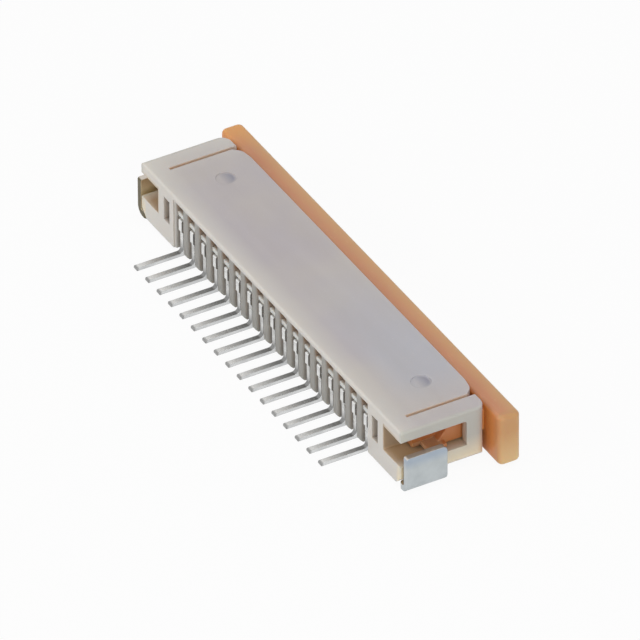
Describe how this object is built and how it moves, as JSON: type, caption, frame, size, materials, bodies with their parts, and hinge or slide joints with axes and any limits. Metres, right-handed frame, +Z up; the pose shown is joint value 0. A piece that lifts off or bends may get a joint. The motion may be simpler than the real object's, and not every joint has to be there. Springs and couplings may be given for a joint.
{
  "type": "fpc connector",
  "caption": "Right-angle surface-mount connector for a flat flexible cable, with a comb of solder tails at the rear and a slide lock at the front.",
  "frame": {"origin": "on the board, under the middle terminal, in the plane of the housing's rear face", "axes": "+X along the row of terminals, +Y from the solder tails towards the cable slot, +Z up from the board"},
  "size_m": [0.024, 0.0074, 0.0029],
  "materials": {
    "housing_plastic": "satin",
    "slider_plastic": "semi-gloss",
    "tin_plated_terminal": "bright tin plating",
    "tin_plated_nail": "satin tin plating"
  },
  "bodies": {
    "base": {"housing": "housing_plastic", "terminal_01": "tin_plated_terminal", "terminal_02": "tin_plated_terminal", "terminal_03": "tin_plated_terminal", "terminal_04": "tin_plated_terminal", "terminal_05": "tin_plated_terminal", "terminal_06": "tin_plated_terminal", "terminal_07": "tin_plated_terminal", "terminal_08": "tin_plated_terminal", "terminal_09": "tin_plated_terminal", "terminal_10": "tin_plated_terminal", "terminal_11": "tin_plated_terminal", "terminal_12": "tin_plated_terminal", "terminal_13": "tin_plated_terminal", "terminal_14": "tin_plated_terminal", "terminal_15": "tin_plated_terminal", "terminal_16": "tin_plated_terminal", "terminal_17": "tin_plated_terminal", "fitting_nail_left": "tin_plated_nail", "fitting_nail_right": "tin_plated_nail"},
    "lock": {"slider": "slider_plastic"}
  },
  "joints": [
    {"name": "lock_slide", "type": "slide", "parent": "base", "child": "lock", "axis": [0, 1, 0], "range_m": [0, 0.0008]}
  ]
}
